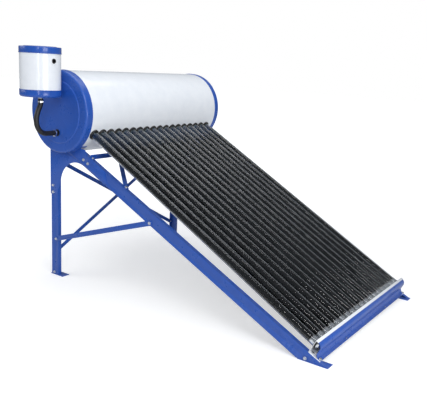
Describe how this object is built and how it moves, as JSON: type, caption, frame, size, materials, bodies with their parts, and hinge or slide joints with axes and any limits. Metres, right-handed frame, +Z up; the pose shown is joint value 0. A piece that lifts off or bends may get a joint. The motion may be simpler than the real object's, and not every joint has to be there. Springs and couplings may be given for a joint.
{
  "type": "solar water heater",
  "caption": "Thermosiphon solar water heater: round insulated tank over a bank of sloping glass vacuum tubes, on a folded steel stand with a small float-fed supply tank.",
  "frame": {"origin": "on the ground, in the middle of the four anchor holes in the feet", "axes": "+Z up; the tubes run down towards -Y; +X along the tank, away from the supply tank"},
  "size_m": [1.576, 2.03, 1.395],
  "materials": {
    "blue_coat": "semi-gloss powder coat on folded steel sheet",
    "blue_plastic": "moulded, semi-gloss",
    "white_coat": "gloss white coated steel sheet",
    "white_plastic": "moulded, gloss",
    "tube_glass": "clear borosilicate glass",
    "absorber_coating": "dark selective coating on glass",
    "spring_steel": "bright spring sheet",
    "stainless": "satin stainless steel",
    "zinc": "bright zinc plate",
    "foam": "rigid polyurethane foam",
    "silicone": "silicone rubber",
    "black_rubber": "matt black rubber",
    "brass": "machined brass",
    "valve_plastic": "natural acetal",
    "float_plastic": "blow-moulded plastic"
  },
  "bodies": {
    "heater": {"tube_01": "tube_glass", "tube_02": "tube_glass", "tube_03": "tube_glass", "tube_04": "tube_glass", "tube_05": "tube_glass", "tube_06": "tube_glass", "tube_07": "tube_glass", "tube_08": "tube_glass", "tube_09": "tube_glass", "tube_10": "tube_glass", "tube_11": "tube_glass", "tube_12": "tube_glass", "tube_13": "tube_glass", "tube_14": "tube_glass", "tube_15": "tube_glass", "tube_16": "tube_glass", "tube_17": "tube_glass", "tube_18": "tube_glass", "casing": "white_coat", "left_cap": "blue_coat", "right_cap": "blue_coat", "insulation": "foam", "inner_tank": "stainless", "inner_seals": "silicone", "dust_seals": "black_rubber", "absorber_tubes": "absorber_coating", "spacer_clips": "spring_steel", "tail_cups": "black_rubber", "tail_tray": "white_coat", "tail_cover": "blue_coat", "left_cradle": "blue_coat", "right_cradle": "blue_coat", "rear_legs": "blue_coat", "left_rail": "blue_coat", "right_rail": "blue_coat", "feet": "blue_coat", "side_braces": "blue_coat", "cross_braces": "blue_coat", "crossbar": "blue_coat", "knee_braces": "blue_coat", "frame_bolts": "zinc", "frame_nuts": "zinc", "sheet_screws": "zinc", "feeder_body": "white_plastic", "feeder_floor": "blue_plastic", "feeder_base": "blue_plastic", "feeder_bracket": "blue_coat", "grommets": "black_rubber", "outlet_union": "stainless", "feeder_hose": "black_rubber", "hose_clamps": "zinc", "inlet_pipe": "stainless", "outlet_pipes": "stainless", "drain_plug": "brass", "valve_body": "brass", "valve_pin": "stainless"},
    "supply_lid": {"feeder_lid": "blue_plastic"},
    "float": {"float_arm": "brass", "float_ball": "float_plastic"},
    "plunger": {"valve_plunger": "valve_plastic"}
  },
  "joints": [
    {"name": "lid_lift", "type": "slide", "parent": "heater", "child": "supply_lid", "axis": [0, 0, 1], "range_m": [0, 0.06]},
    {"name": "float_swing", "type": "hinge", "parent": "heater", "child": "float", "pos_m": [-0.768, 0.88344, 1.304], "axis": [-1, 0, 0], "range_deg": [0, 28]},
    {"name": "plunger_slide", "type": "slide", "parent": "heater", "child": "plunger", "axis": [0, 1, 0], "range_m": [0, 0.004]}
  ],
  "couplings": [
    {"joint": "plunger_slide", "follows": "float_swing", "m_per_rad": 0.008}
  ]
}
